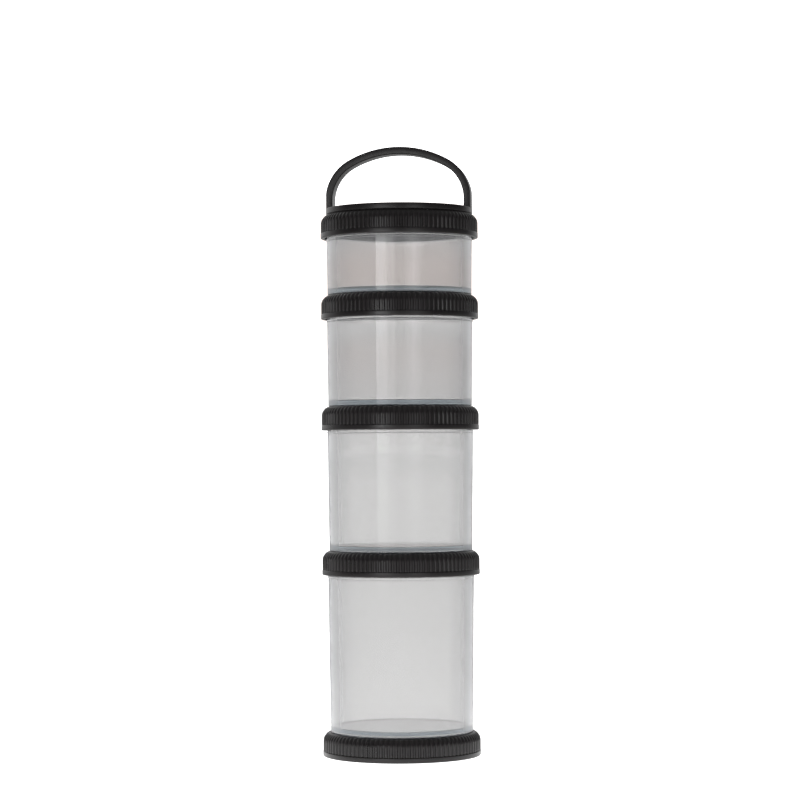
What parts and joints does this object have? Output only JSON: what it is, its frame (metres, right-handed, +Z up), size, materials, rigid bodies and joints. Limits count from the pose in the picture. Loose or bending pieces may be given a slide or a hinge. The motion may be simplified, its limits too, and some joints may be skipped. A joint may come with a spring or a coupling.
{
  "type": "stacking formula dispenser",
  "caption": "Tower of hazy round cups that screw onto one another by ribbed black rings, with a screw lid and an arched carry handle, for measured powder or snacks.",
  "frame": {"origin": "centre of the bottom ring's underside, on the ground", "axes": "+Z up along the tower, X from one leg of the handle to the other, Y through the handle's loop"},
  "size_m": [0.07, 0.07, 0.2697],
  "materials": {
    "black_plastic": "satin moulded",
    "hazy_cup": "hazy translucent",
    "silicone": "matte translucent"
  },
  "bodies": {
    "bottom_tier": {"bottom_ring": "black_plastic", "bottom_cup": "hazy_cup", "bottom_seal": "silicone"},
    "lower_washer": {"lower_seal": "silicone"},
    "lower_tier": {"lower_ring": "black_plastic", "lower_cup": "hazy_cup"},
    "upper_washer": {"upper_seal": "silicone"},
    "upper_tier": {"upper_ring": "black_plastic", "upper_cup": "hazy_cup"},
    "top_washer": {"top_seal": "silicone"},
    "top_tier": {"top_ring": "black_plastic", "top_cup": "hazy_cup"},
    "lid_washer": {"lid_seal": "silicone"},
    "lid": {"lid_ring": "black_plastic", "lid_disc": "black_plastic", "carry_handle": "black_plastic"}
  },
  "joints": [
    {"name": "lower_rise", "type": "slide", "parent": "bottom_tier", "child": "lower_washer", "axis": [0, 0, 1], "range_m": [0, 0.009]},
    {"name": "lower_twist", "type": "hinge", "parent": "lower_washer", "child": "lower_tier", "pos_m": [0, 0, 0.0799], "axis": [0, 0, 1], "range_deg": [0, 270]},
    {"name": "upper_rise", "type": "slide", "parent": "lower_tier", "child": "upper_washer", "axis": [0, 0, 1], "range_m": [0, 0.009]},
    {"name": "upper_twist", "type": "hinge", "parent": "upper_washer", "child": "upper_tier", "pos_m": [0, 0, 0.1439], "axis": [0, 0, 1], "range_deg": [0, 270]},
    {"name": "top_rise", "type": "slide", "parent": "upper_tier", "child": "top_washer", "axis": [0, 0, 1], "range_m": [0, 0.009]},
    {"name": "top_twist", "type": "hinge", "parent": "top_washer", "child": "top_tier", "pos_m": [0, 0, 0.1932], "axis": [0, 0, 1], "range_deg": [0, 270]},
    {"name": "lid_rise", "type": "slide", "parent": "top_tier", "child": "lid_washer", "axis": [0, 0, 1], "range_m": [0, 0.009]},
    {"name": "lid_twist", "type": "hinge", "parent": "lid_washer", "child": "lid", "pos_m": [0, 0, 0.2291], "axis": [0, 0, 1], "range_deg": [0, 270]}
  ],
  "couplings": [
    {"joint": "lower_rise", "follows": "lower_twist", "m_per_rad": 0.0019099},
    {"joint": "upper_rise", "follows": "upper_twist", "m_per_rad": 0.0019099},
    {"joint": "top_rise", "follows": "top_twist", "m_per_rad": 0.0019099},
    {"joint": "lid_rise", "follows": "lid_twist", "m_per_rad": 0.0019099}
  ]
}
